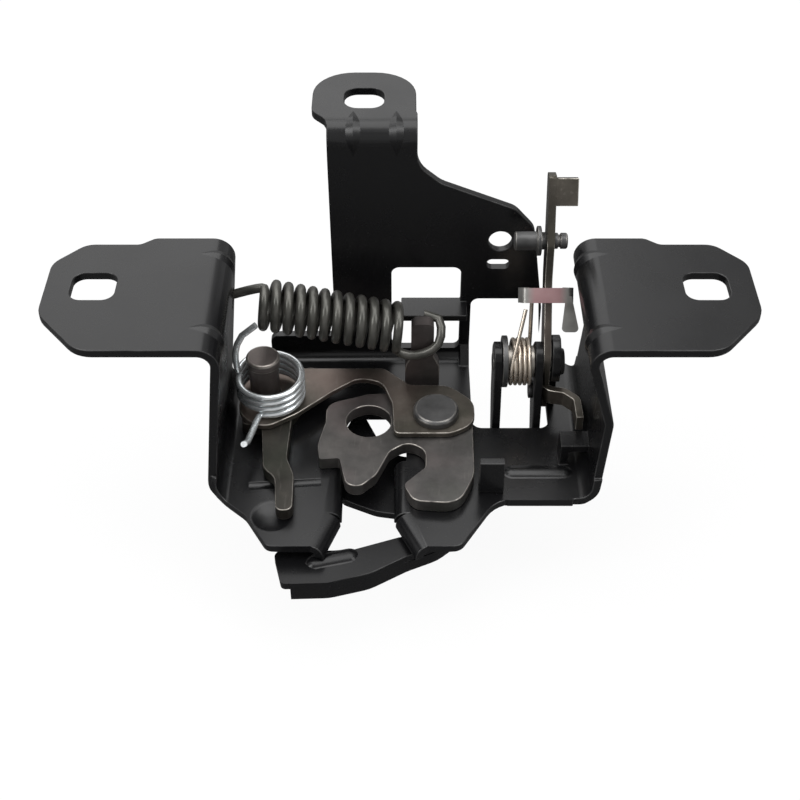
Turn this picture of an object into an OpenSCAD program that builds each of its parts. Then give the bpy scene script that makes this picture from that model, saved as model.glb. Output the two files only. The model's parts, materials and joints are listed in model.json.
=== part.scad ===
// Bonnet latch: a folded sheet bracket with a rotary catch, a pawl, their springs and a safety hook.
// The origin lies midway between the two flange bolt holes, on the plane that the flanges seat on.
// The tray that carries the mechanism opens upwards (+Z), and the striker enters its slot along +Y.

/* [Bracket] */
// Thickness of the bracket sheet
sheet = 2.5; // [2.2:0.1:2.8]
// Overall width over the two flanges
flange_span = 198; // [190:1:214]
// Distance between the flange bolt holes
bolt_spacing = 171; // [164:1:174]
// Bolt holes' size across
bolt_hole_x = 12.5; // [10:0.5:14]
// Bolt holes' size fore and aft
bolt_hole_y = 12; // [10:0.5:14]
// Height of the flanges' top over the tray floor
flange_height = 53; // [50:0.5:56]
// Length of a flange, fore and aft
flange_len = 50; // [46:1:54]
// Distance from the back wall forward to the bolt holes
bolt_setback = 31; // [28:0.5:34]
// Distance from the mid-plane to the side walls at the flanges
wall_top = 50.5; // [49:0.5:51]
// Distance from the mid-plane to the side walls at the floor
wall_foot = 56; // [55:0.5:57]
// How much nearer to the mid-plane the left side wall stands
left_inset = 1.5; // [1:0.1:2]
// Inside radius of the bracket's bends
bend_r = 3.5; // [2.5:0.5:4]
// Outer radius of the lips that are rolled down along the floor's edges
lip_r = 3.6; // [3:0.1:4.5]

/* [Rear tab] */
// Height of the rear tab's top over the tray floor
tab_height = 84.5; // [80:0.5:88]
// Width of the rear tab
tab_w = 30; // [28:0.5:32]
// Reach of the rear tab behind the back wall
tab_reach = 31; // [29:0.5:34]
// Sideways place of the rear tab's middle
tab_x = -10.3; // [-12:0.1:-8]
// Distance from the back wall to the middle of the rear tab's bolt hole
tab_hole_y = 16.5; // [15:0.5:18]

/* [Striker slot] */
// Width of the striker slot
slot_w = 15; // [13:0.5:16]
// Sideways place of the striker slot
slot_x = -9.2; // [-10:0.1:-8.5]
// Reach of the two front lobes forward of the back wall
lobe_reach = 80.5; // [78:0.5:84]

/* [Catch] */
// Thickness of the catch and the pawl
plate_t = 4; // [3.5:0.1:4.4]
// Gap under and over the moving plates
plate_gap = 0.3; // [0.2:0.05:0.5]
// Diameter of the catch's rivet
rivet_d = 10; // [8:0.5:11]
// Diameter of the catch rivet's head
rivet_head_d = 13.6; // [12.5:0.1:15]
// Diameter of the round hole in the catch
catch_hole_d = 13.5; // [11:0.5:14]
// Thickness of the bridge plate
bridge_t = 1.8; // [1.5:0.1:2.2]

/* [Pawl] */
// Diameter of the pawl's pin
pawl_pin_d = 9; // [8:0.5:9.5]
// Height of the pawl pin's top over the tray floor
pawl_pin_h = 20.8; // [19.5:0.1:23]

/* [Springs] */
// Wire of the catch spring
catch_wire = 2.8; // [2.4:0.1:3]
// Outside diameter of the catch spring
catch_coil_d = 16; // [15:0.5:17]
// Turns of the catch spring
catch_turns = 11; // [10:1:12]
// Wire of the pawl spring
pawl_wire = 2; // [1.6:0.1:2.2]
// Outside diameter of the pawl spring
pawl_coil_d = 21; // [20:0.5:22]
// Turns of the pawl spring
pawl_turns = 4; // [3:1:4]
// Wire of the hook spring
hook_wire = 1.2; // [1:0.1:1.25]
// Outside diameter of the hook spring
hook_coil_d = 14.6; // [13.5:0.1:15]
// Turns of the hook spring
hook_turns = 5; // [4:1:5]

/* [Safety hook] */
// Thickness of the safety hook's sheet
hook_t = 2.4; // [2:0.1:2.5]
// Drop from the tray floor's top to the hook plate's top
hook_drop = 6; // [5.5:0.1:7]
// Height of the skirt that is turned down round the hook's nose
skirt_h = 7; // [5:0.5:8]
// Diameter of the hook's pivot pin
hook_pin_d = 6; // [5:0.5:7]
// Thickness of the safety lever
lever_t = 2.2; // [1.8:0.1:2.3]
// Diameter of the handle pin
handle_pin_d = 4.7; // [4:0.1:5.5]

/* [Hidden] */

$fn = 48;
// Clearance of a pin that turns in its hole, and of a pin that is pressed into one
run_clear = 0.05;
fit_clear = 0.01;

// The tray's own datum: mid-plane, back wall's front face, floor's upper face
tray = [0, bolt_setback, sheet - flange_height];
flange_back = -8.5;
flange_front = flange_back - flange_len;
wall_flare = wall_foot + 2;
floor_front = -66;
slot_left = slot_x - slot_w / 2;
slot_right = slot_x + slot_w / 2;
lobe_corner = [slot_left - 4.6, slot_right + 5.8];

// Middle of the left wall, measured from the mid-plane at the height z
function wall_at(z) = wall_foot - left_inset + (wall_top - wall_foot) * z / flange_height;

// Pivots in the tray
catch_at = [10.8, -33.8];
pawl_at = [-41, -23.8];
hook_at = [-23, 18];
plate_z = plate_gap;
bridge_z = plate_z + plate_t + plate_gap;
bridge_top = bridge_z + bridge_t;
bush_wall = 1.5;
rivet_head_t = 2.6;
foot_t = 1.8;

// Spring anchors in the tray
eye_z = 35;
wall_eye = [-wall_at(eye_z), -14, eye_z];
ear_x = [3.4, 10.2];
ear_foot_x = [1.6, 12];
ear_back = -14.5;
catch_eye = [(ear_x[0] + ear_x[1]) / 2, ear_back - plate_t / 2, 24];

// Safety hook's stations along its pin
hook_left = 28;
hook_right = 40.2;
lever_x = hook_right + hook_t;
lug_x = lever_x + lever_t + 0.4;

function unit(v) = v / norm(v);
function left(v) = [-v[1], v[0]];
function turn_by(v, a) = [v[0] * cos(a) - v[1] * sin(a), v[0] * sin(a) + v[1] * cos(a)];
function reversed(list) = [for (i = [len(list) - 1:-1:0]) list[i]];

// Arc from the corner b, between the directions of a and c, with the radius r, offset h to the left
function corner(a, b, c, r, h = 0) =
    let (d0 = unit(b - a), d1 = unit(c - b))
    let (turn = atan2(d0[0] * d1[1] - d0[1] * d1[0], d0 * d1), s = sign(turn))
    let (centre = b - d0 * r * tan(abs(turn) / 2) + left(d0) * r * s)
    let (steps = max(1, ceil(abs(turn) / 10)))
    r == 0 || s == 0 ? [b]
    : [for (k = [0:steps]) centre - turn_by(left(d0), turn * k / steps) * s * (r - s * h)];

// Closed outline whose points are [x, y, corner radius]
function rounded(p) =
    let (n = len(p), q = [for (v = p) [v[0], v[1]]])
    [for (i = [0:n - 1]) each corner(q[(i + n - 1) % n], q[i], q[(i + 1) % n], p[i][2])];

// One side of a bent strip, h to the left of its path
function strip_side(p, r, h) =
    let (n = len(p) - 1)
    [
        p[0] + left(unit(p[1] - p[0])) * h,
        for (i = [1:n - 1]) each corner(p[i - 1], p[i], p[i + 1], r, h),
        p[n] + left(unit(p[n] - p[n - 1])) * h
    ];
function strip(p, r, t) = concat(strip_side(p, r, t / 2), reversed(strip_side(p, r, -t / 2)));

// A sheet folded along the path, running back to front from y = 0
module fold_y(path, r, t, length) {
    rotate([90, 0, 0]) linear_extrude(length) polygon(strip(path, r, t));
}

// A sheet folded along the path in the YZ plane, running from x0 to x1
module fold_x(path, r, t, x0, x1) {
    translate([x0, 0, 0]) rotate([90, 0, 90]) linear_extrude(x1 - x0) polygon(strip(path, r, t));
}

module plate(outline, z0, z1) {
    translate([0, 0, z0]) linear_extrude(z1 - z0) polygon(rounded(outline));
}

module upright_plate(outline, x0, x1) {
    translate([x0, 0, 0]) rotate([90, 0, 90]) linear_extrude(x1 - x0) polygon(rounded(outline));
}

module bore(at, d, z0, z1) {
    translate([at[0], at[1], z0]) cylinder(d = d, h = z1 - z0);
}

module cross_bore(at, d, x0, x1) {
    translate([x0, at[0], at[1]]) rotate([0, 90, 0]) cylinder(d = d, h = x1 - x0);
}

// Round wire along a list of points, as one swept tube
module wire(points, d, sides = 8) {
    n = len(points);
    tangent = [for (i = [0:n - 1]) unit(points[min(i + 1, n - 1)] - points[max(i - 1, 0)])];
    side = [for (i = 0, v = unit(cross(tangent[0], wire_start(tangent[0]))); i < n;
             i = i + 1, v = i < n ? unit(v - tangent[i] * (v * tangent[i])) : v) v];
    rings = [for (i = [0:n - 1], k = [0:sides - 1])
        points[i] + (side[i] * cos(360 * k / sides) + cross(tangent[i], side[i]) * sin(360 * k / sides)) * d / 2];
    walls = [for (i = [0:n - 2], k = [0:sides - 1])
        [i * sides + k, i * sides + (k + 1) % sides, (i + 1) * sides + (k + 1) % sides, (i + 1) * sides + k]];
    polyhedron(rings, concat([[for (k = [sides - 1:-1:0]) k]],
        walls, [[for (k = [0:sides - 1]) (n - 1) * sides + k]]));
}
function wire_start(t) = abs(t[2]) < 0.9 ? [0, 0, 1] : [1, 0, 0];

// Rounded rectangle prism, for bolt holes and windows
module window(at, w, l, r, z0, z1) {
    plate([[at[0] - w / 2, at[1] - l / 2, r], [at[0] + w / 2, at[1] - l / 2, r],
        [at[0] + w / 2, at[1] + l / 2, r], [at[0] - w / 2, at[1] + l / 2, r]], z0, z1);
}

module wall_window(outline) {
    translate([0, 3 * sheet, 0]) rotate([90, 0, 0]) linear_extrude(6 * sheet) polygon(rounded(outline));
}

// Triangular rib pressed into a bend, its corner at the origin
module dart(leg, w) {
    rotate([90, 0, 0]) translate([0, 0, -w / 2]) linear_extrude(w) polygon([[0, 0], [leg, 0], [0, leg]]);
}

// The tray: flanges, side walls and floor, before the outlines are cut
module channel() {
    mid_top = flange_height - sheet / 2;
    fold_y([[-flange_span / 2, mid_top], [-wall_at(flange_height), mid_top], [-wall_at(0), -sheet / 2],
        [wall_foot, -sheet / 2], [wall_flare, flange_height / 2], [wall_top, mid_top],
        [flange_span / 2, mid_top]], bend_r + sheet / 2, sheet, lobe_reach + 1);
}

// Plan outlines of the right flange and of the floor with its two lobes
function flange_outline() = [[wall_top - 12, flange_front, 0], [flange_span / 2 - 13, flange_front, 9],
    [flange_span / 2, flange_front + 15.5, 9], [flange_span / 2, flange_back - 12, 7],
    [flange_span / 2 - 8.5, flange_back - 3, 6], [flange_span / 2 - 24, flange_back - 3, 3],
    [flange_span / 2 - 28, flange_back, 3], [wall_top - 12, flange_back, 0]];

function floor_outline() = [[-wall_flare - 4, flange_back, 0], [-wall_flare - 4, -60, 0],
    [-wall_foot + 2, -60, 3], [-44, -69, 8], [-37.4, -lobe_reach, 3],
    [lobe_corner[0] - lip_r, -lobe_reach, 1], [slot_left - lip_r, floor_front - 2, 6],
    [slot_left - lip_r, -27, 2], [slot_right + lip_r, -27, 2], [slot_right + lip_r, floor_front - 2, 6],
    [lobe_corner[1] + lip_r, -lobe_reach, 1], [17, -lobe_reach, 4], [28, floor_front + lip_r, 10],
    [wall_foot - 3, floor_front + lip_r, 4], [wall_flare + 5, floor_front + 5, 3],
    [wall_flare + 5, flange_back, 0], [wall_foot, flange_back, 0],
    [44, 10, 0], [-41, 10, 0], [-wall_foot + 4, flange_back, 0]];

// Back wall's face: the neck under the tab, the shoulder towards the lever and the low rim on the left
function back_outline() = [[-41, -20, 0], [-41, 8.5, 2.5], [-20.5, 8.5, 1.5],
    [neck_left, tab_height - 7, 0], [neck_left - 8, tab_height - 6, 0], [neck_left - 8, 110, 0], [5, 110, 0],
    [5, 72, 8], [12, 66, 8], [34, 57, 6], [40, 50, 6], [44, 20, 0], [44, -20, 0]];
neck_left = -20.8;

function tab_outline() = [[neck_left, -60, 0], [tab_x + tab_w / 2 + 40, -60, 0],
    [tab_x + tab_w / 2 + 40, 0, 0], [tab_x + tab_w / 2, sheet + bend_r, 4],
    [tab_x + tab_w / 2, tab_reach, 12], [tab_x - tab_w / 2, tab_reach, 12],
    [tab_x - tab_w / 2, 9.5, 5], [neck_left, 4.5, 3]];

module back_wall() {
    mid = [sheet / 2, -sheet / 2, tab_height - sheet / 2];
    intersection() {
        fold_x([[-20, mid[1]], [mid[0], mid[1]], [mid[0], mid[2]], [tab_reach, mid[2]]],
            bend_r + sheet / 2, sheet, -41, 44);
        translate([0, 60, 0]) rotate([90, 0, 0]) linear_extrude(120) polygon(rounded(back_outline()));
        union() {
            plate(tab_outline(), tab_height - sheet - bend_r - 2, tab_height + 1);
            translate([-60, -60, -20]) cube([120, 60 + 2 * sheet, 20 + tab_height - sheet - bend_r]);
        }
    }
}

module bracket() {
    color([0.06, 0.06, 0.065]) translate(tray) difference() {
        union() {
            intersection() {
                channel();
                union() {
                    plate(floor_outline(), -4 * sheet, wall_cut);
                    wall_zone(-80, -40, -60);
                    wall_zone(40, 80, floor_front + 5);
                    for (s = [0, 1]) mirror([s, 0, 0])
                        plate(flange_outline(), flange_height - 12, flange_height + 1);
                }
            }
            back_wall();
            slot_lips();
            pin_lug();
            stop_lug();
            catch_stop();
            ribs();
        }
        bolt_holes();
        floor_holes();
        back_holes();
        bend_darts();
        floor_beads();
    }
    color([0.06, 0.06, 0.065]) translate(tray) window_tongue();
}

// Space that holds a side wall over the floor's bend: its front edge runs from foot_front up to the flange
wall_cut = 7;
module wall_zone(x0, x1, foot_front) {
    upright_plate([[foot_front, wall_cut, 0], [flange_front, flange_height - 12, 0],
        [flange_back, flange_height - 12, 0], [flange_back, wall_cut, 0]], x0, x1);
}

// Lips rolled down along the striker slot, the lobes' inner corners and the floor's front edge
module slot_lips() {
    inner = floor_front - 2;
    rolled_lip([slot_left - lip_r, -47], [slot_left - lip_r, inner]);
    rolled_lip([slot_left - lip_r, inner], [lobe_corner[0] - lip_r, -lobe_reach]);
    rolled_lip([slot_right + lip_r, inner], [slot_right + lip_r, -47]);
    rolled_lip([lobe_corner[1] + lip_r, -lobe_reach], [slot_right + lip_r, inner]);
    rolled_lip([31, floor_front + lip_r], [wall_foot - 6, floor_front + lip_r]);
}

// A quarter round along the floor's edge from a to b, which leaves the floor on its right side
module rolled_lip(a, b) {
    lap = 0.6;
    inner_r = lip_r - sheet;
    profile = concat([[-lap, 0]], [for (k = [0:15:90]) [lip_r * sin(k), lip_r * (cos(k) - 1)]],
        [[lip_r, -lip_r - 0.8], [inner_r, -lip_r - 0.8]],
        [for (k = [90:-15:0]) [inner_r * sin(k), inner_r * cos(k) - lip_r]], [[-lap, -sheet]]);
    along = b - a;
    translate([a[0], a[1], 0]) rotate([0, 0, atan2(along[1], along[0])]) rotate([90, 0, 90])
        linear_extrude(norm(along)) polygon(profile);
}

// Lug folded up beside the floor opening, which carries the hook's pin and leaves room for the lever's tail
module pin_lug() {
    y = hook_at[0];
    z = hook_at[1];
    upright_plate([[y + 1.5, -sheet, 0], [y + 8, -sheet, 0], [y + 8, z + 2, 7], [y + 3, z + 8.5, 5],
        [y - 3.5, z + 8.5, 5], [y - 6, z, 5], [y - 4.5, z - 4.8, 2], [y + 1.5, z - 4.8, 2]],
        lug_x, lug_x + sheet);
}

// Shelf bent in from the right wall, which stops the lever's tail
module stop_lug() {
    translate([0, -48.6, 0]) {
        translate([47, 0, 5]) cube([wall_foot - 47, 6.5, sheet]);
        translate([47, 0, -sheet]) cube([sheet, 6.5, 5 + 2 * sheet]);
    }
}

// Tab bent up from the floor, which stops the open catch
module catch_stop() {
    mid = -sheet / 2;
    fold_x([[-52, mid], [-59.4, mid], [-59.4, 12.4]], 2 + sheet / 2, sheet, 22.7, 29.9);
}

// Tongue bent forward across the first back window
module window_tongue() {
    translate([0.4, -7, 20.3]) cube([20.2, 7 + sheet - 0.4, 2.2]);
}

// Ribs that stiffen the bends from their inner side
module ribs() {
    translate([33, -51.7, -2.6]) {
        rotate([0, 90, 0]) cylinder(r = 3.6, h = 15);
        for (x = [0, 15]) translate([x, 0, 0]) sphere(r = 3.6);
    }
    for (y = dart_rows) {
        translate([wall_top + 1.5, y, flange_height - sheet]) rotate([0, 90, 0]) dart(6.5, 4);
        mirror([1, 0, 0])
            translate([wall_at(flange_height) + 1.5, y, flange_height - sheet]) rotate([0, 90, 0]) dart(6.5, 4);
    }
    for (x = tab_darts)
        translate([x, sheet, tab_height - sheet]) rotate([0, 90, 90]) dart(6.5, 3.4);
    translate([20.5, 0, 0]) rotate([0, 0, -90]) dart(5, 3);
}

// Grooves pressed across the outer side of the flange bends and of the rear tab's bend
dart_rows = [-16, -49];
tab_darts = [tab_x - 3, tab_x + 9.3];
module bend_darts() {
    reach = bend_r + sheet;
    depth = 0.75 * sheet;
    r = 1.9;
    off = reach * (1 - cos(45)) - depth + r;
    for (y = dart_rows) {
        translate([wall_top - sheet / 2, y, flange_height]) rotate([0, 45, 0]) bend_groove(reach, off, r);
        mirror([1, 0, 0]) translate([wall_at(flange_height) - sheet / 2, y, flange_height])
            rotate([0, 45, 0]) bend_groove(reach, off, r);
    }
    for (x = tab_darts)
        translate([x, 0, tab_height]) rotate([0, 0, 90]) rotate([0, 45, 0]) bend_groove(reach, off, r);
}

// A round groove along the chord of a bend whose corner is at the origin
module bend_groove(reach, off, r) {
    chord = reach / sqrt(2);
    translate([0, 0, off - chord]) rotate([0, 90, 0]) translate([0, 0, -reach])
        cylinder(r = r, h = 2 * reach);
}

// Beads and the cable's dished seat, pressed down into the left lobe
module floor_beads() {
    translate([-44, -57.4, 1.3]) rotate([0, 90, 4.5]) cylinder(r = 2.1, h = 21);
    dish_r = 12;
    translate([-36.6, -69, dish_r - 0.7 * sheet]) sphere(r = dish_r);
}

module bolt_holes() {
    for (s = [-1, 1])
        window([s * bolt_spacing / 2, -bolt_setback], bolt_hole_x, bolt_hole_y, 3.5,
            flange_height - 2 * sheet, flange_height + sheet);
    window([tab_x, tab_hole_y], 11.5, 11, 4, tab_height - 2 * sheet, tab_height + sheet);
}

module floor_holes() {
    bore(catch_at, rivet_d + 2 * fit_clear, -2 * sheet, sheet);
    bore(pawl_at, pawl_pin_d + 2 * fit_clear, -2 * sheet, sheet);
    plate([[22, -33, 3], [lug_x, -33, 3], [lug_x, 30, 0], [22, 30, 0]], -2 * sheet, 0.5);
    cross_bore([hook_at[0], hook_at[1]], hook_pin_d + 2 * fit_clear, lug_x - 1, lug_x + sheet + 1);
    cross_bore([wall_eye[1], wall_eye[2]], 6.6, -60, -44);
}

module back_holes() {
    wall_window([[-2.6, 3.5, 2], [18.7, 3.5, 2], [18.7, 35.6, 2.5], [-2.6, 35.6, 2.5]]);
    wall_window([[22, -8, 0], [lug_x, -8, 0], [43, 23.5, 2.5], [22, 23.5, 2.5]]);
    translate([30, 5, 45.5]) rotate([90, 0, 0]) cylinder(d = 7, h = 10);
    wall_window([[26.2, 35.2, 1.7], [33.2, 35.2, 1.7], [33.2, 38.8, 1.7], [26.2, 38.8, 1.7]]);
}

// Thin plate over the catch and the pawl, which ties the tops of their two pivots
module bridge_plate() {
    color([0.25, 0.23, 0.19]) translate(tray) difference() {
        plate([[-48.5, -34, 8], [-40.8, -40, 6], [-31, -33.5, 10], [-20.5, -23.5, 8], [-13, -17.6, 6],
            [-5.5, -19.2, 6], [-2.3, -29, 6], [-1.8, -42, 2], [15, -42, 7], [22.4, -38, 7],
            [22.4, -28, 7], [15, -21, 6], [3, -20.6, 2], [-5, -13, 3], [-36, -13, 8], [-49, -15, 8]],
            bridge_z, bridge_top);
        bore(catch_at, rivet_d + 2 * fit_clear, 0, 20);
        bore(pawl_at, pawl_pin_d + 2 * fit_clear, 0, 20);
    }
}

// Flat-headed rivet that the catch turns on, closed under the floor
module catch_rivet() {
    color([0.2, 0.2, 0.2]) translate(tray) translate([catch_at[0], catch_at[1], 0]) rotate_extrude()
        polygon([[0, -sheet - foot_t], [rivet_d / 2 + 1.6, -sheet - foot_t], [rivet_d / 2 + 2.2, -sheet - 1],
            [rivet_d / 2 + 2.2, -sheet], [rivet_d / 2, -sheet], [rivet_d / 2, bridge_top],
            [rivet_head_d / 2, bridge_top], [rivet_head_d / 2, bridge_top + rivet_head_t - 0.7],
            [rivet_head_d / 2 - 0.7, bridge_top + rivet_head_t], [0, bridge_top + rivet_head_t]]);
}

module bush(at, d) {
    translate([at[0], at[1], 0]) rotate_extrude()
        polygon([[d / 2 + fit_clear, 0], [d / 2 + bush_wall, 0], [d / 2 + bush_wall, bridge_z],
            [d / 2 + fit_clear, bridge_z]]);
}

// Spacer sleeves that the catch and the pawl run on, clamped between floor and bridge plate
module catch_bush() { color([0.45, 0.42, 0.36]) translate(tray) bush(catch_at, rivet_d); }
module pawl_bush() { color([0.45, 0.42, 0.36]) translate(tray) bush(pawl_at, pawl_pin_d); }

// Outline of the catch when it is open: two claws round the mouth, the locking notch and the rear arm
function catch_outline() = [[22, -24, 10], [21.6, -57, 12], [16.8, -68.2, 6.5], [3.6, -67.2, 4.5],
    [1.1, -60.8, 2], [7.4, -54, 3], [7.5, -47, 4.5], [2.5, -43.3, 4.5], [-3, -47.4, 4], [-6.8, -56.8, 5],
    [-11.6, -61.8, 3], [-15.7, -60.6, 3], [-17.7, -50.2, 1], [-23.6, -50.8, 1], [-24.4, -44.5, 3],
    [-22.4, -35, 4], [-22.4, -27, 5], [-9.4, -22.5, 8], [ear_foot_x[0] - 1.6, -22.5, 2],
    [ear_foot_x[0], ear_back - plate_t, 1], [ear_foot_x[0], ear_back, 0.5], [ear_foot_x[1], ear_back, 0.5],
    [ear_foot_x[1], ear_back - plate_t, 1], [ear_foot_x[1] + 2, -22.5, 1]];

module rotary_catch() {
    ear_top = catch_eye[2] + 4.5;
    color([0.3, 0.27, 0.25]) translate(tray) difference() {
        union() {
            plate(catch_outline(), plate_z, plate_z + plate_t);
            translate([0, ear_back, 0]) rotate([90, 0, 0]) linear_extrude(plate_t)
                polygon(rounded([[ear_foot_x[0], plate_z + 1, 0], [ear_foot_x[1], plate_z + 1, 0],
                    [ear_foot_x[1], 12, 3], [ear_x[1], 16, 3], [ear_x[1], ear_top, 2], [ear_x[0], ear_top, 2],
                    [ear_x[0], 16, 3], [ear_foot_x[0], 12, 3]]));
        }
        bore(catch_at, rivet_d + 2 * bush_wall + 2 * run_clear, -1, 10);
        bore([slot_x - 0.2, -34.6], catch_hole_d, -1, 10);
    }
}

// Pawl: hub, locking nose towards the catch, spring ear on the left and the long release finger
module pawl() {
    color([0.27, 0.23, 0.19]) translate(tray) difference() {
        plate([[-35.2, -71, 2.2], [-30.4, -70.6, 2.2], [-30.7, -57, 6], [-33.2, -50, 8], [-32.6, -33, 4],
            [-24.99, -16.57, 2], [-22.52, -13.39, 0.5], [-27.97, -9.85, 2], [-35, -14.2, 5], [-45, -14.2, 8],
            [-49.2, -21, 6], [-47.1, -29, 2], [-47.6, -30, 1], [-47.6, -35.6, 2], [-41.5, -36.8, 2],
            [-39.9, -54, 5], [-36.2, -58, 5]], plate_z, plate_z + plate_t);
        bore(pawl_at, pawl_pin_d + 2 * bush_wall + 2 * run_clear, -1, 10);
    }
}

// Tall shouldered pin of the pawl, which also holds the pawl spring
module pawl_pin() {
    head_t = 2.8;
    color([0.36, 0.3, 0.27]) translate(tray) translate([pawl_at[0], pawl_at[1], 0]) rotate_extrude()
        polygon([[0, -sheet - foot_t], [pawl_pin_d / 2 + 1.4, -sheet - foot_t], [pawl_pin_d / 2 + 2, -sheet - 1],
            [pawl_pin_d / 2 + 2, -sheet], [pawl_pin_d / 2, -sheet], [pawl_pin_d / 2, pawl_pin_h - head_t],
            [pawl_pin_d / 2 + 0.6, pawl_pin_h - head_t], [pawl_pin_d / 2 + 0.6, pawl_pin_h - 0.5],
            [pawl_pin_d / 2 + 0.1, pawl_pin_h], [0, pawl_pin_h]]);
}

// Points of a coil about the axis from a to b, starting on the side of the vector u
function coil(a, b, r, turns, u, per = 20) =
    let (w = unit(b - a), e = unit(u - w * (u * w)), f = cross(w, e), n = round(turns * per))
    [for (i = [0:n]) a + (b - a) * i / n + (e * cos(360 * turns * i / n) + f * sin(360 * turns * i / n)) * r];

// Tension spring that throws the catch open: one end through the left wall, a loop round the catch's ear
module catch_spring() {
    r = (catch_coil_d - catch_wire) / 2;
    axis = unit(catch_eye - wall_eye);
    a = wall_eye + axis * 10;
    b = catch_eye - axis * 7;
    front = ear_back - plate_t - catch_wire / 2 - 0.5;
    back = ear_back + catch_wire / 2 + 0.5;
    right = ear_x[1] + catch_wire / 2 + 0.5;
    z = catch_eye[2];
    color([0.16, 0.16, 0.15]) translate(tray) wire(concat(
        [wall_eye + [-3.5, 0, -3.2], wall_eye + [-3.7, 0, -0.4], wall_eye + [0, 0, 1], a + [-3.2, 0, r - 1.2]],
        coil(a, b, r, catch_turns + 0.4, [0, 0, 1]),
        [[ear_x[0] - 1, front, z - 6.4], [ear_x[1] - 2.5, front, z - 5.6], [right - 0.3, front + 0.5, z - 4.4],
            [right, catch_eye[1], z - 2], [right - 0.2, back - 0.4, z + 0.6], [ear_x[1] - 3, back, z + 2]]), catch_wire);
}

// Torsion spring round the pawl's pin: one leg stands up beside the wall, the other lies forward over the ear
module pawl_spring() {
    r = (pawl_coil_d - pawl_wire) / 2;
    z0 = bridge_top + pawl_wire / 2 + 0.1;
    z1 = z0 + pawl_turns * (pawl_wire + 0.15);
    at = [pawl_at[0] + 2, pawl_at[1] - 2.2, 0];
    color([0.75, 0.77, 0.78]) translate(tray) wire(concat(
        [at + [-6.2, -24.3, z0 + 2.6], at + [-6.1, -23.4, z0 + 0.1], at + [-4.4, -15.5, z0]],
        coil(at + [0, 0, z0], at + [0, 0, z1], r, pawl_turns - 0.2, [-0.34, -0.94, 0], 24),
        [at + [-r - 0.6, 0.2, z1 + 4.6], at + [-r - 0.1, 1, z1 + 10], at + [-r + 2.2, 1.2, z1 + 14.6],
            at + [-r + 6.4, 1.3, z1 + 17.4]]), pawl_wire);
}

// Pivot pin of the safety hook, riveted into the bracket's lug
module hook_pin() {
    end = lug_x + sheet;
    color([0.3, 0.29, 0.27]) translate(tray) translate([0, hook_at[0], hook_at[1]]) rotate([0, 90, 0]) rotate_extrude()
        polygon([[0, hook_left - 0.4], [hook_pin_d / 2 - 0.5, hook_left - 0.4], [hook_pin_d / 2, hook_left],
            [hook_pin_d / 2, end],
            [hook_pin_d / 2 + 1.3, end], [hook_pin_d / 2 + 0.8, end + 1.4], [0, end + 1.4]]);
}

module ring_x(at, d_out, d_in, x0, x1) {
    difference() {
        cross_bore(at, d_out, x0, x1);
        cross_bore(at, d_in, x0 - 1, x1 + 1);
    }
}

washer_t = 1.6;
bush_d = hook_pin_d + 3.6;
module hook_washer() {
    color([0.2, 0.19, 0.17]) translate(tray)
        ring_x(hook_at, hook_coil_d + 1, hook_pin_d + 2 * run_clear, hook_left + hook_t + 0.1, hook_left + hook_t + 0.1 + washer_t);
}

module hook_bush() {
    color([0.5, 0.46, 0.4]) translate(tray)
        ring_x(hook_at, bush_d, hook_pin_d + 2 * run_clear, hook_left + hook_t + 0.2 + washer_t, hook_right - 0.1);
}

// Torsion spring that holds the safety hook shut: its long leg runs up to the lever's clip
module hook_spring() {
    r = (hook_coil_d - hook_wire) / 2;
    x0 = hook_left + hook_t + washer_t + 0.3 + hook_wire / 2;
    x1 = hook_right - 0.3 - hook_wire / 2;
    at = [0, hook_at[0], hook_at[1]];
    color([0.78, 0.72, 0.64]) translate(tray) wire(concat(
        [[lever_x - 5.6, clip_at[0] - 1.8, clip_at[1] - 1], at + [x0 + 2, -2, 10], at + [x0 + 0.2, -r + 1, 3.4]],
        coil(at + [x0, 0, 0], at + [x1, 0, 0], r, hook_turns - 0.45, [0, -1, 0.25], 20),
        [at + [x1, r + 0.9, 6], at + [x1, r + 3.2, 15]]), hook_wire, 6);
}

// Under-floor plate of the safety hook: the throat opens to the left, the nose has a skirt turned down
function hook_outline() = [[hook_left + 14.5, -27.5, 3], [hook_left + 14.5, -38, 8], [21, -64, 14], [11, -75, 8],
    [2, -79, 14], [-9, -85.6, 18], [-20, -88.6, 10], [-33, -89, 1.5], [-36, -77, 2], [-14, -76.8, 6],
    [0, -71.8, 4], [5, -69, 3.2], [1, -63.4, 3.2], [-7, -62, 8], [-17.5, -57, 3], [-17.6, -30, 4],
    [-13.6, -19.6, 1.5], [-11.8, -19.8, 1], [-6.8, -32, 3], [2, -42, 6], [18, -27.5, 4]];

function nose_line() = [[18.6, -66], [10.2, -73.8], [1.6, -77.8], [-9, -84.3], [-20, -87.4], [-30.6, -87.8]];

module hook_ear(x0) {
    y = hook_at[0];
    z = hook_at[1];
    upright_plate([[y - 9.9, -hook_drop - hook_t, 1], [y - 4, -hook_drop - hook_t, 1], [y + 3.5, 4, 6],
        [y + 6.5, z + 1, 5], [y + 2, z + 6.5, 4], [y - 4, z + 6.5, 4], [y - 6.5, z - 2, 5], [y - 8.6, 4, 6]],
        x0, x0 + hook_t);
}

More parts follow.
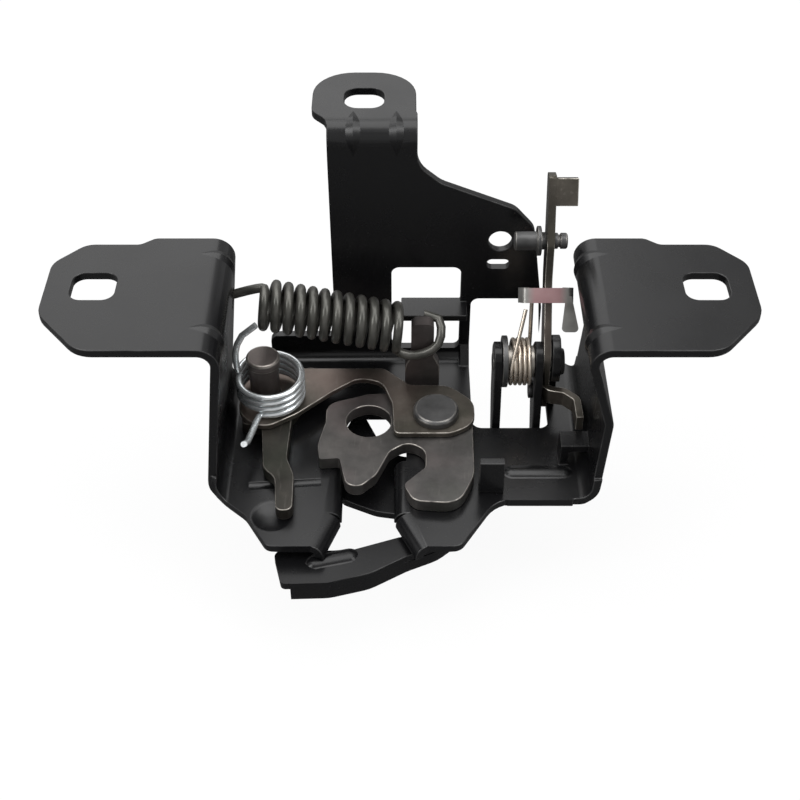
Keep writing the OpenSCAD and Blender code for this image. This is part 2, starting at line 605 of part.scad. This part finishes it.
module safety_hook() {
    top = -hook_drop;
    color([0.07, 0.07, 0.075]) translate(tray) difference() {
        union() {
            plate(hook_outline(), top - hook_t, top);
            translate([0, 0, top - skirt_h]) linear_extrude(skirt_h) polygon(strip(nose_line(), 12, hook_t));
            hook_ear(hook_left);
            hook_ear(hook_right);
            translate([-24, -81, top - 2.6]) rotate([0, 90, 14]) {
                cylinder(r = 3.6, h = 10);
                sphere(r = 3.6);
                translate([0, 0, 10]) sphere(r = 3.6);
            }
        }
        cross_bore(hook_at, hook_pin_d + 2 * run_clear, hook_left - 1, hook_right + 5);
        cross_bore(lever_rivet_at, 4 + 2 * fit_clear, hook_left + 5, hook_right + 5);
    }
}
lever_rivet_at = [-22.6, 6.4];
handle_at = [-8, 51.6];
lever_lean = [24.8, 36.2];
lever_top = [-3, 70.6];
clip_at = [-17.3, 35.9];

// Lever that lifts the hook: leaning strip with a thumb tab on top and an S-shaped tail
module safety_lever() {
    x1 = lever_x + lever_t;
    mid = lever_x + lever_t / 2;
    color([0.33, 0.3, 0.25]) translate(tray) difference() {
        union() {
            upright_plate([[-27, 2, 2], [-18.5, 2, 3], [-17.5, 20, 5], [-6.5, 40, 6], [-3.4, 52, 5],
                [lever_top[0] + 5.2, lever_top[1] - 1.6, 1.5], [lever_top[0], lever_top[1], 1],
                [-11.6, 52, 5], [-13.6, 41, 6], [-27.5, 22, 5]], lever_x, x1);
            translate([0, lever_top[0], lever_top[1]]) rotate([-lever_lean[0], 0, 0]) translate([0, 0, -8.6])
                linear_extrude(8) polygon(strip([[mid, 4], [mid, lever_t / 2], [mid + 7.4, lever_t / 2]],
                    1.6, lever_t));
            translate([0, 0, 7]) linear_extrude(5.2)
                polygon(strip([[mid, -22], [mid, -28.4], [49.4, -29.6], [52.7, -33], [52.9, -41.2]], 2.8, lever_t));
        }
        cross_bore(hook_at, hook_pin_d + 2 * run_clear, lever_x - 1, x1 + 1);
        cross_bore(lever_rivet_at, 4 + 2 * fit_clear, lever_x - 1, x1 + 1);
        cross_bore(handle_at, handle_pin_d - 1 + 2 * fit_clear, lever_x - 1, x1 + 1);
    }
}

// Rivet that fixes the lever to the hook's right ear
module lever_rivet() {
    x1 = lever_x + lever_t;
    color([0.35, 0.33, 0.3]) translate(tray) translate([0, lever_rivet_at[0], lever_rivet_at[1]]) rotate([0, 90, 0]) rotate_extrude()
        polygon([[0, hook_right - 1], [2.8, hook_right - 1], [2.8, hook_right], [2, hook_right], [2, x1],
            [2.6, x1], [2.6, x1 + 0.3], [0, x1 + 0.3]]);
}

// Stepped cross pin that takes the pull handle
module handle_pin() {
    r = handle_pin_d / 2;
    x0 = lever_x;
    x1 = lever_x + lever_t;
    color([0.2, 0.2, 0.19]) translate(tray) translate([0, handle_at[0], handle_at[1]]) rotate([0, 90, 0])
        rotate_extrude() polygon([[0, x0 - 9.3], [r, x0 - 9.3], [r + 0.4, x0 - 8.9], [r + 0.4, x0 - 2.7],
            [r + 2, x0 - 2.7], [r + 2, x0 - 1.5], [r + 0.2, x0 - 1.5], [r + 0.2, x0], [r - 0.5, x0],
            [r - 0.5, x1], [r, x1], [r, x1 + 1.2], [r - 0.5, x1 + 1.2], [r - 0.5, x1 + 1.9], [r, x1 + 1.9],
            [r, x1 + 3.6], [r - 0.4, x1 + 4], [0, x1 + 4]]);
}

// Spring-steel clip on the lever's front edge: curled ends and a tongue that hangs down beside the lever
module lever_clip() {
    t = 1.1;
    y = -t / 2 - 0.15;
    x = lever_x;
    color([0.6, 0.42, 0.42]) translate(tray) translate([0, clip_at[0], clip_at[1]]) rotate([-lever_lean[1], 0, 0]) {
        linear_extrude(4.4) polygon(strip([[x - 4.4, y + 5], [x - 7.4, y + 3.6], [x - 6, y], [x + 7.6, y],
            [x + 8.3, y + 3.4], [x + 5.6, y + 4]], 1.1, t));
        translate([0, y + t / 2, 0]) rotate([90, 0, 0]) linear_extrude(t)
            polygon(rounded([[x + 6.2, 2, 0], [x + 5, -8.6, 1.2], [x + 10.2, -8.6, 1.2], [x + 7.8, 2, 0]]));
    }
}

bracket();
bridge_plate();
catch_rivet();
catch_bush();
rotary_catch();
catch_spring();
pawl_pin();
pawl_bush();
pawl();
pawl_spring();
hook_pin();
hook_washer();
hook_bush();
hook_spring();
safety_hook();
safety_lever();
lever_rivet();
handle_pin();
lever_clip();
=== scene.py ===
import json
import math

import bmesh
import bpy
from mathutils import Matrix, Vector

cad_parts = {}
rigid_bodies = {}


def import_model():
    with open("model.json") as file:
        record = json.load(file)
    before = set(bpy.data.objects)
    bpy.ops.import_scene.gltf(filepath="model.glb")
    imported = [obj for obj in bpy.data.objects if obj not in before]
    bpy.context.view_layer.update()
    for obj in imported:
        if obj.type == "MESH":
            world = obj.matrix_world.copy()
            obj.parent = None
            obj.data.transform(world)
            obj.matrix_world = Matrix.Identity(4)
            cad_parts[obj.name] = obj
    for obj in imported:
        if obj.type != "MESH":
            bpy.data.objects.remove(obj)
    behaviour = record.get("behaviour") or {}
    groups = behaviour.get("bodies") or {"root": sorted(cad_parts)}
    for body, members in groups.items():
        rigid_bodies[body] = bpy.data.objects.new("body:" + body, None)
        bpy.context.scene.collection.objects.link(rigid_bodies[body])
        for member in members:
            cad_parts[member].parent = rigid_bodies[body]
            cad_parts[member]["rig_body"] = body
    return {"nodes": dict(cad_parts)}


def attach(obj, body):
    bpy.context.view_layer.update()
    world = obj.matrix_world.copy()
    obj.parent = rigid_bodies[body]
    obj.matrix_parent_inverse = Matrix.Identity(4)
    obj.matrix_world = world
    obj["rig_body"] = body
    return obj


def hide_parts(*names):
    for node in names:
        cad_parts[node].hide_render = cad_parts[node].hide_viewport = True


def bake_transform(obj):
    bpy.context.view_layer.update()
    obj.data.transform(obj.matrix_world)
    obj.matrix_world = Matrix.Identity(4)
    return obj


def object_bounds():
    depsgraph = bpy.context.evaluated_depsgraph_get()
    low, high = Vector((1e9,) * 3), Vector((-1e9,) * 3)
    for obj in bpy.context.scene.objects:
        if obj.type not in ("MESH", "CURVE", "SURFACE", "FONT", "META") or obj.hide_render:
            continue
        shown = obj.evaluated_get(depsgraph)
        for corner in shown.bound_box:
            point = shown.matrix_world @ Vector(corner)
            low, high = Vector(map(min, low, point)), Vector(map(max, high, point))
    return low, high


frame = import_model()
cad_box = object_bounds()

# Bracket: one blank of pressed steel, folded into a tray with two flanges and a rear tab.
# It is dipped in glossy black paint, which rounds every cut edge a little.
MM = 0.001


class Socket:
    """An output in a material's tree: a sum on it adds a Math node, and node() adds any other kind."""

    def __init__(self, tree, link):
        self.tree = tree
        self.link = link

    def node(self, kind, settings, sockets, output=0):
        made = self.tree.nodes.new(kind)
        for name, value in settings.items():
            if name == "stops":
                while len(made.color_ramp.elements) < len(value):
                    made.color_ramp.elements.new(1.0)
                for stop, (place, colour) in zip(made.color_ramp.elements, value):
                    stop.position = place
                    stop.color = (*colour, 1.0)
            else:
                setattr(made, name, value)
        self.fill(made, sockets)
        return Socket(self.tree, made.outputs[output])

    def fill(self, made, sockets):
        for key, value in sockets.items():
            if isinstance(value, Socket):
                self.tree.links.new(value.link, made.inputs[key])
            else:
                made.inputs[key].default_value = value

    def sum(self, operation, first, second):
        return self.node("ShaderNodeMath", {"operation": operation}, {0: first, 1: second})

    def __add__(self, other):
        return self.sum("ADD", self, other)

    def __radd__(self, other):
        return self.sum("ADD", other, self)

    def __sub__(self, other):
        return self.sum("SUBTRACT", self, other)

    def __rsub__(self, other):
        return self.sum("SUBTRACT", other, self)

    def __mul__(self, other):
        return self.sum("MULTIPLY", self, other)

    def __rmul__(self, other):
        return self.sum("MULTIPLY", other, self)

    def between(self, low, high):
        """0 below low, 1 above high."""
        return self.node("ShaderNodeMapRange", {"clamp": True},
                         {"Value": self, "From Min": low, "From Max": high})

    def noise(self, scale, detail=3.0, rough=0.5):
        return self.node("ShaderNodeTexNoise", {}, {"Vector": self, "Scale": scale,
                                                    "Detail": detail, "Roughness": rough})

    def stretched(self, x, y, z):
        return self.node("ShaderNodeMapping", {}, {"Vector": self, "Scale": (x, y, z)})

    def colours(self, *stops):
        return self.node("ShaderNodeValToRGB", {"stops": stops}, {"Fac": self})

    def mixed(self, first, second):
        """The first colour where this value is 0, the second where it is 1."""
        sides = {6: first, 7: second}
        sides = {k: c if isinstance(c, Socket) else (*c, 1.0) for k, c in sides.items()}
        return self.node("ShaderNodeMix", {"data_type": "RGBA"}, {0: self, **sides}, 2)

    def bump(self, strength, depth):
        return self.node("ShaderNodeBump", {}, {"Height": self, "Strength": strength, "Distance": depth})

    def rounded_edge(self):
        """1 on the piece's rounded edges, 0 elsewhere."""
        return self.node("ShaderNodeAttribute", {"attribute_name": "rounded_edge"}, {}, 2)


def finish(name):
    """A new material with its shader and the piece's own coordinates."""
    material = bpy.data.materials.new(name)
    material.use_nodes = True
    tree = material.node_tree
    skin = tree.nodes["Principled BSDF"]
    place = Socket(tree, tree.nodes.new("ShaderNodeTexCoord").outputs["Object"])
    return material, skin, place


def dip_paint(name, gloss):
    """Black paint that is a little dusty along the edges."""
    material, skin, place = finish(name)
    smudge = place.noise(45.0, 4.0)
    specks = place.noise(1300.0, 2.0).between(0.70, 0.76)
    dusty = place.rounded_edge() * place.noise(160.0, 3.0).between(0.35, 0.65) * 0.30 + specks * 0.06
    place.fill(skin, {
        "Base Color": dusty.mixed((0.005, 0.005, 0.0055), (0.075, 0.074, 0.074)),
        "Roughness": smudge.between(0.3, 0.7) * 0.10 + specks * 0.06 + 0.22,
        "Normal": (place.noise(420.0, 2.0) + place.noise(90.0) * 0.6).bump(0.10, 0.1 * MM),
        "IOR": gloss,
    })
    return material


weld, speck, elbow_room = 0.002 * MM, 0.05 * MM, 1.2
flat_angle, sharp_angle, crease_angle = math.radians(1), math.radians(30), math.radians(42)


def dressed(node, name, edge, material, trimmed=None, crowded=False):
    """A copy of a solid with its triangles joined and its sharp edges rounded, which stands for it.

    On a crowded outline, only the edges with no short neighbour are rounded."""
    shape = bmesh.new()
    shape.from_mesh(frame["nodes"][node].data)
    bmesh.ops.remove_doubles(shape, verts=shape.verts, dist=weld)
    if trimmed:
        trimmed(shape)
    bmesh.ops.dissolve_degenerate(shape, edges=shape.edges, dist=speck)
    bmesh.ops.dissolve_limit(shape, angle_limit=flat_angle, verts=shape.verts, edges=shape.edges)
    rounded = shape.faces.layers.float.new("rounded_edge")
    sharp = [e for e in shape.edges if e.is_manifold and e.calc_face_angle() > sharp_angle]
    if crowded:
        room = elbow_room * edge
        sharp = [e for e in sharp if all(o.calc_length() > room for v in e.verts for o in v.link_edges)]
    rounding = bmesh.ops.bevel(shape, geom=sharp, offset=edge, offset_type="OFFSET", segments=2, profile=0.5,
                               affect="EDGES", clamp_overlap=not crowded, material=-1)
    for face in rounding["faces"]:
        face[rounded] = 1.0
    mesh = bpy.data.meshes.new(name)
    shape.to_mesh(mesh)
    shape.free()
    mesh.shade_smooth()
    mesh.set_sharp_from_angle(angle=crease_angle)
    mesh.materials.clear()
    mesh.materials.append(material)
    piece = bpy.data.objects.new(name, mesh)
    bpy.context.scene.collection.objects.link(piece)
    flat = piece.modifiers.new("flat_faces", "WEIGHTED_NORMAL")
    flat.keep_sharp = True
    body = frame["nodes"][node]["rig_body"]
    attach(piece, body)
    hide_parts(node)


def without_burr(shape):
    """Draws the thin burr beside the neck under the rear tab back into the neck's edge."""
    burr_left, burr_right, burr_back, burr_low, burr_high = -29.5, -21, 34, 26.5, 28.6
    neck_edge = -20.8
    for vertex in shape.verts:
        x, y, z = vertex.co / MM
        if burr_left < x < burr_right and y < burr_back and burr_low < z < burr_high:
            vertex.co.x = neck_edge * MM


black_paint = dip_paint("black_dip_paint", 1.46)
dressed("bracket", "bracket_sheet", 0.3 * MM, black_paint, without_burr, crowded=True)

# Press darts: six low ridges across the bends of the two flanges and of the rear tab, which stiffen them.
# They belong to the bracket's own painted sheet, and are laid over its bends.
# Places are in millimetres from the tray's datum: mid-plane, back wall's front face, floor's upper face.
tray = Vector((0, 31, -50.5))
bend_radius, dart_reach, dart_half_width, dart_height, dart_sunk = 6.0, 3.6, 2.3, 0.7, 0.06
half_sheet, flat_steps, bend_steps, dart_crease = 1.25, 4, 12, math.radians(20)


def press_dart(name, middle, over, above, down, beside):
    """A dart pressed across a bend, from the flat that runs over to the one that runs down."""
    inward = over.cross(down).cross(down).normalized()
    if inward.dot(over) > 0:
        inward.negate()
    share = 1 + above.dot(inward)
    corner = middle + (above + inward) * (half_sheet / share)
    centre = corner - (above + inward) * (bend_radius / share)
    turn = above.angle(inward)
    top_end, low_end = centre + above * bend_radius, centre + inward * bend_radius
    line = [(top_end + over * dart_reach * (1 - k / flat_steps), above) for k in range(flat_steps)]
    for k in range(bend_steps + 1):
        ahead, behind = math.sin(turn * (1 - k / bend_steps)), math.sin(turn * k / bend_steps)
        outward = (above * ahead + inward * behind) / math.sin(turn)
        line.append((centre + outward * bend_radius, outward))
    line += [(low_end + down * dart_reach * k / flat_steps, inward) for k in range(1, flat_steps + 1)]
    ridge = bmesh.new()
    rows = []
    for i, (place, outward) in enumerate(line):
        swell = 1 - (2 * i / (len(line) - 1) - 1) ** 2
        rims = [place + beside * dart_half_width * swell * side - outward * dart_sunk for side in (-1, 1)]
        crest = place + outward * (dart_height * swell - dart_sunk)
        rows.append([ridge.verts.new(p * MM) for p in (rims[0], crest, rims[1])])
    for one, two in zip(rows, rows[1:]):
        for k in (0, 1):
            ridge.faces.new((one[k], one[k + 1], two[k + 1], two[k]))
    bmesh.ops.recalc_face_normals(ridge, faces=ridge.faces)
    mesh = bpy.data.meshes.new(name)
    ridge.to_mesh(mesh)
    ridge.free()
    mesh.shade_smooth()
    mesh.set_sharp_from_angle(angle=dart_crease)
    mesh.materials.append(black_paint)
    piece = bpy.data.objects.new(name, mesh)
    bpy.context.scene.collection.objects.link(piece)
    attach(piece, "frame")


up, along = Vector((0, 0, 1)), Vector((0, 1, 0))
right_wall, left_wall = Vector((7.5, 0, -26.5)).normalized(), Vector((-5.5, 0, -53)).normalized()
for i, y in enumerate((-16, -49)):
    press_dart(f"right_dart_{i}", tray + Vector((50.5, y, 51.75)), Vector((1, 0, 0)), up, right_wall, along)
    press_dart(f"left_dart_{i}", tray + Vector((-49, y, 51.75)), Vector((-1, 0, 0)), up, left_wall, along)
for i, x in enumerate((-13.3, -1)):
    press_dart(f"tab_dart_{i}", tray + Vector((x, 1.25, 83.25)), along, up, -up, Vector((1, 0, 0)))

# Safety hook: a black-painted pressing under the floor, with a throat, a nose and two upright ears.
# It turns on a steel pin that is riveted into the bracket's lug.
# The hook's paint is the same black dip paint with a lower IOR, which dims its reflections as painted shade
# under the floor.
shaded_hook_paint = dip_paint("shaded_hook_dip_paint", 1.38)
dressed("safety_hook", "safety_hook_sheet", 0.3 * MM, shaded_hook_paint, crowded=True)


def oiled_steel(name, dark, light, roughness):
    """Steel with a thin dark coat that has worn along the edges."""
    material, skin, place = finish(name)
    cloud = place.noise(120.0, 5.0, 0.6)
    tone = cloud.between(0.3, 0.7).mixed(dark, light)
    worn = place.rounded_edge() * place.noise(260.0, 3.0).between(0.35, 0.6)
    place.fill(skin, {
        "Base Color": (worn * 0.5).mixed(tone, (0.40, 0.38, 0.35)),
        "Metallic": 0.75,
        "Roughness": cloud * 0.18 + (roughness - 0.09) - worn * 0.08,
        "Normal": place.noise(700.0, 3.0).bump(0.12, 0.08 * MM),
    })
    return material


dark_steel = oiled_steel("dark_oiled_steel", (0.062, 0.062, 0.062), (0.115, 0.114, 0.114), 0.42)
turned_steel = oiled_steel("turned_steel", (0.30, 0.28, 0.25), (0.42, 0.39, 0.35), 0.34)
dressed("hook_pin", "hook_pin_turned", 0.2 * MM, dark_steel)
dressed("hook_washer", "hook_washer_disc", 0.2 * MM, dark_steel)
dressed("hook_bush", "hook_bush_sleeve", 0.15 * MM, turned_steel)

# Catch and pawl: thick fine-blanked steel with a brown-grey phosphate coat and a film of oil.
# Each runs on a turned bush, and the blanked edges are rubbed bright.
def phosphate(name, dark, middle, light, roughness, rubbed=(0.46, 0.43, 0.39)):
    """A cloudy coat with rosy and olive patches, fine strokes, and edges rubbed bright."""
    material, skin, place = finish(name)
    cloud = place.noise(70.0, 6.0, 0.62)
    tone = cloud.colours((0.30, dark), (0.50, middle), (0.72, light))
    red = (light[0] * 1.3, light[1] * 0.95, light[2])
    olive = (middle[0], middle[1] * 1.35, middle[2])
    film = place.noise(38.0, 2.0)
    rosy = film.between(0.52, 0.72) * 0.30
    green = film.between(0.46, 0.28) * 0.28
    tinted = green.mixed(rosy.mixed(tone, red), olive)
    strokes = place.stretched(1.0, 0.14, 1.0).noise(900.0, 2.0).between(0.62, 0.74)
    worn = place.rounded_edge() * place.noise(300.0, 3.0).between(0.30, 0.55)
    place.fill(skin, {
        "Base Color": (worn * 0.55 + strokes * 0.05).mixed(tinted, rubbed),
        "Metallic": 0.72,
        "Roughness": cloud * 0.22 + (roughness - 0.11) - worn * 0.10,
        "Normal": (place.noise(800.0, 4.0) + strokes * 0.4).bump(0.16, 0.08 * MM),
    })
    return material


brown_phosphate = phosphate("brown_phosphate", (0.050, 0.047, 0.045), (0.082, 0.078, 0.075),
                            (0.128, 0.120, 0.114), 0.40)
olive_phosphate = phosphate("olive_phosphate", (0.058, 0.052, 0.043), (0.098, 0.087, 0.073),
                            (0.160, 0.140, 0.120), 0.38)
dark_phosphate = phosphate("dark_phosphate", (0.020, 0.018, 0.015), (0.038, 0.035, 0.030),
                           (0.068, 0.062, 0.052), 0.42)
dressed("catch_bush", "catch_bush_sleeve", 0.15 * MM, turned_steel)
dressed("pawl_bush", "pawl_bush_sleeve", 0.15 * MM, turned_steel)
dressed("rotary_catch", "rotary_catch_plate", 0.3 * MM, brown_phosphate, crowded=True)
dressed("pawl", "pawl_plate", 0.35 * MM, dark_phosphate)

# Bridge plate: a thin olive-brown pressing over the catch and the pawl.
# The catch's flat-headed rivet and the pawl's tall pin hold it down.
dressed("bridge_plate", "bridge_plate_sheet", 0.3 * MM, olive_phosphate)
dressed("catch_rivet", "catch_rivet_head", 0.3 * MM, dark_steel)
pin_brown = phosphate("pin_brown", (0.070, 0.058, 0.055), (0.110, 0.094, 0.088), (0.160, 0.138, 0.128), 0.42)
dressed("pawl_pin", "pawl_pin_head", 0.3 * MM, pin_brown)

# Catch spring: dark drawn wire wound close.
# A hook at one end goes through the left wall, and a loop at the other lies round the catch's ear.
wall_eye = tray + Vector((-50.87, -14, 35))
catch_eye = tray + Vector((6.8, -16.5, 24))
cap_angle = math.radians(50)


def coil(start, end, radius, turns, side, per_turn=40):
    """Points round the axis from start to end, the first one on the given side."""
    along = (end - start).normalized()
    first = (side - along * side.dot(along)).normalized()
    second = along.cross(first)
    count = round(turns * per_turn)
    for i in range(count + 1):
        angle = math.tau * turns * i / count
        yield start.lerp(end, i / count) + (first * math.cos(angle) + second * math.sin(angle)) * radius


def drawn_wire(name, route, diameter, node, material):
    """Round wire along the route, in millimetres, as one smooth swept mesh."""
    line = bpy.data.curves.new(name + "_line", "CURVE")
    line.dimensions = "3D"
    line.bevel_depth = diameter / 2 * MM
    line.bevel_resolution = 4
    line.use_fill_caps = True
    line.resolution_u = 2
    spline = line.splines.new("NURBS")
    spline.points.add(len(route) - 1)
    for point, place in zip(spline.points, route):
        point.co = (*(place * MM), 1.0)
    spline.order_u = 4
    spline.use_endpoint_u = True
    swept = bpy.data.objects.new(name + "_swept", line)
    bpy.context.scene.collection.objects.link(swept)
    mesh = bpy.data.meshes.new_from_object(swept.evaluated_get(bpy.context.evaluated_depsgraph_get()))
    bpy.data.objects.remove(swept)
    mesh.shade_smooth()
    mesh.set_sharp_from_angle(angle=cap_angle)
    mesh.materials.clear()
    mesh.materials.append(material)
    piece = bpy.data.objects.new(name, mesh)
    bpy.context.scene.collection.objects.link(piece)
    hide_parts(node)
    return piece


def wire_finish(name, dark, light, metallic, roughness):
    """Drawn wire with faint clouds in its coat."""
    material, skin, place = finish(name)
    cloud = place.noise(220.0, 3.0)
    place.fill(skin, {
        "Base Color": cloud.between(0.3, 0.7).mixed(dark, light),
        "Metallic": metallic,
        "Roughness": cloud * 0.16 + (roughness - 0.08),
        "Normal": place.noise(1500.0, 2.0).bump(0.08, 0.05 * MM),
    })
    return material


catch_axis = (catch_eye - wall_eye).normalized()
catch_wire, catch_radius, catch_turns = 2.8, 6.6, 11.4
hook_length, loop_length = 10, 7
coil_start = wall_eye + catch_axis * hook_length
coil_end = catch_eye - catch_axis * loop_length
spring_route = [wall_eye + Vector(p) for p in ((-3.5, 0, -3.2), (-3.7, 0, -0.4), (0, 0, 1))]
spring_route.append(coil_start + Vector((-3.2, 0, catch_radius - 1.2)))
spring_route += coil(coil_start, coil_end, catch_radius, catch_turns, up)
spring_route += [catch_eye + Vector(p) for p in ((-4.6, -4.1, -6.4), (0.9, -4.1, -5), (5.4, -3.9, -2),
                                                 (5.7, 0, 1.9), (5.4, 3.9, 3.3), (0.4, 4.1, 3.7))]
dark_wire = wire_finish("dark_drawn_wire", (0.055, 0.055, 0.049), (0.105, 0.102, 0.092), 0.55, 0.32)
catch_spring = drawn_wire("catch_spring_wire", spring_route, catch_wire, "catch_spring",
                          dark_wire)
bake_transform(catch_spring)

# Pawl spring: bright zinc-plated wire round the pawl's pin.
# One leg stands up beside the wall, and the other lies forward over the pawl's ear.
pawl_foot = tray + Vector((-39, -26, 0))
pawl_wire, pawl_radius, pawl_turns = 2.0, 9.5, 4
bridge_top, seat_gap, turn_gap = 6.4, 0.1, 0.15
pawl_low = bridge_top + pawl_wire / 2 + seat_gap
pawl_high = pawl_low + pawl_turns * (pawl_wire + turn_gap)
spring_route = [pawl_foot + Vector(p) for p in ((-6.2, -24.3, pawl_low + 2.6), (-6.1, -23.4, pawl_low + 0.1),
                                                (-4.4, -15.5, pawl_low))]
spring_route += coil(pawl_foot + Vector((0, 0, pawl_low)), pawl_foot + Vector((0, 0, pawl_high)),
                     pawl_radius, pawl_turns - 0.2, Vector((-0.34, -0.94, 0)))
spring_route += [pawl_foot + Vector((x - pawl_radius, y, z + pawl_high)) for x, y, z in
                 ((-0.6, 0.2, 4.6), (-0.1, 1, 10), (2.2, 1.2, 14.6), (6.4, 1.3, 17.4))]
zinc_wire = wire_finish("bright_zinc_wire", (0.78, 0.82, 0.84), (0.90, 0.93, 0.94), 0.80, 0.24)
pawl_spring = drawn_wire("pawl_spring_wire", spring_route, pawl_wire, "pawl_spring", zinc_wire)
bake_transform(pawl_spring)

# Hook spring: thin pale plated wire on the hook's pin, between the two ears.
# Its long leg runs up to the lever's clip, and the other end stands behind the lever.
hook_foot = tray + Vector((0, -23, 18))
hook_wire, hook_radius, hook_turns = 1.2, 6.7, 5
hook_near, hook_far = 32.9, 39.3
spring_route = [tray + Vector((37, -19.1, 34.9)), hook_foot + Vector((hook_near + 2, -2, 10)),
                hook_foot + Vector((hook_near + 0.2, 1 - hook_radius, 3.4))]
spring_route += coil(hook_foot + Vector((hook_near, 0, 0)), hook_foot + Vector((hook_far, 0, 0)),
                     hook_radius, hook_turns - 0.45, Vector((0, -1, 0.25)))
spring_route += [hook_foot + Vector((hook_far, hook_radius + y, z)) for y, z in ((0.9, 6), (3.2, 15))]
pale_wire = wire_finish("pale_plated_wire", (0.58, 0.50, 0.42), (0.76, 0.68, 0.58), 0.80, 0.28)
hook_spring = drawn_wire("hook_spring_wire", spring_route, hook_wire, "hook_spring", pale_wire)
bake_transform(hook_spring)

# Safety lever: a leaning strip of dull yellow-brown zinc-plated steel with a thumb tab and an S-shaped tail.
# A rivet fixes it to the hook, a stepped pin takes the pull, and a pinkish spring clip lies across it.
lever_zinc = phosphate("dull_yellow_zinc", (0.045, 0.040, 0.033), (0.075, 0.067, 0.056),
                       (0.125, 0.112, 0.094), 0.36, (0.92, 0.87, 0.78))


def lacquered_zinc():
    """Zinc plating with a pinkish lacquer on the middle of the clip's strip."""
    material, skin, place = finish("pinkish_zinc")
    across = place.node("ShaderNodeSeparateXYZ", {}, {"Vector": place}, 0)
    height = place.node("ShaderNodeSeparateXYZ", {}, {"Vector": place}, 2)
    cloud = place.noise(110.0, 4.0)
    from_left = across.between(37.2 * MM, 39.6 * MM)
    from_right = across.between(49.2 * MM, 46.8 * MM)
    above_tongue = height.between(-15.2 * MM, -14.0 * MM)
    lacquer = from_left * from_right * above_tongue
    zinc = cloud.between(0.3, 0.7).mixed((0.24, 0.235, 0.22), (0.46, 0.45, 0.43))
    pink = cloud.between(0.3, 0.7).mixed((0.34, 0.19, 0.20), (0.47, 0.31, 0.31))
    place.fill(skin, {
        "Base Color": (place.rounded_edge() * 0.45).mixed(lacquer.mixed(zinc, pink), (0.85, 0.82, 0.78)),
        "Metallic": 0.75 - lacquer * 0.20,
        "Roughness": cloud * 0.20 + 0.24,
        "Normal": place.noise(800.0, 3.0).bump(0.12, 0.06 * MM),
    })
    return material


clip_zinc = lacquered_zinc()
dressed("safety_lever", "safety_lever_strip", 0.2 * MM, lever_zinc, crowded=True)
dressed("lever_rivet", "lever_rivet_head", 0.2 * MM, dark_steel)
dressed("handle_pin", "handle_pin_turned", 0.2 * MM, dark_steel)
dressed("lever_clip", "lever_clip_strip", 0.15 * MM, clip_zinc)

# Studio: a pale floor, a white surround and four soft boxes.
# The floor is low enough for the hook's nose when it swings down.
# The camera stands in front of the latch and looks down on it at 43 degrees.
hook_swing, floor_gap = 19.0, 0.2
floor_place = Matrix.Translation((0, 0, cad_box[0].z - (hook_swing + floor_gap) * MM))
sheet = bmesh.new()
bmesh.ops.create_grid(sheet, x_segments=1, y_segments=1, size=3.0, matrix=floor_place)
floor_mesh = bpy.data.meshes.new("floor")
sheet.to_mesh(floor_mesh)
sheet.free()
floor = bpy.data.objects.new("floor", floor_mesh)
bpy.context.scene.collection.objects.link(floor)


def ray(tree, kind):
    """1 for the rays of that kind that reach a surface, 0 for the others."""
    return Socket(tree, tree.nodes.new("ShaderNodeLightPath").outputs[kind])


floor_paint = bpy.data.materials.new("white_floor")
floor_paint.use_nodes = True
floor_mesh.materials.append(floor_paint)
tree = floor_paint.node_tree
seen = ray(tree, "Is Camera Ray")
mirrored = ray(tree, "Is Glossy Ray")
matt = seen.node("ShaderNodeBsdfDiffuse", {}, {"Color": (0.80, 0.80, 0.80, 1.0)})
glow = seen.node("ShaderNodeEmission", {}, {"Color": (1.0, 1.0, 1.0, 1.0), "Strength": seen * 0.92 + 0.08})
seen.fill(tree.nodes["Material Output"],
          {"Surface": seen.node("ShaderNodeMixShader", {}, {0: (seen + mirrored) * 0.93, 1: matt, 2: glow})})

world = bpy.data.worlds.new("white_room")
bpy.context.scene.world = world
world.use_nodes = True
tree = world.node_tree
seen = ray(tree, "Is Camera Ray")
seen.fill(tree.nodes["Background"], {"Color": (1.0, 1.0, 1.0, 1.0), "Strength": seen * 0.5 + 0.5})


def soft_box(name, place, width, height, power):
    """A rectangular lamp that faces the latch."""
    lamp = bpy.data.lights.new(name, "AREA")
    lamp.shape = "RECTANGLE"
    lamp.size, lamp.size_y, lamp.energy = width, height, power
    holder = bpy.data.objects.new(name, lamp)
    holder.location = place
    holder.rotation_mode = "QUATERNION"
    holder.rotation_quaternion = (-Vector(place)).to_track_quat("-Z", "Y")
    bpy.context.scene.collection.objects.link(holder)


soft_box("rear_box", (-0.36, 0.9, 0.9), 1.4, 0.9, 5.0)
soft_box("top_box", (0.0, 0.1, 1.1), 1.2, 0.9, 9.0)
soft_box("left_box", (-0.9, -0.5, 0.8), 0.5, 0.9, 7.0)
soft_box("right_box", (0.9, -0.4, 0.9), 0.5, 0.9, 6.0)

lens = bpy.data.cameras.new("camera")
lens.lens, lens.sensor_width = 61.9, 36.0
camera = bpy.data.objects.new("camera", lens)
camera.location = (0.0, -0.3020, 0.2407)
camera_tilt = math.radians(47)
camera.rotation_euler = (camera_tilt, 0, 0)
bpy.context.scene.collection.objects.link(camera)
bpy.context.scene.camera = camera
bpy.context.scene.view_settings.view_transform = "Standard"
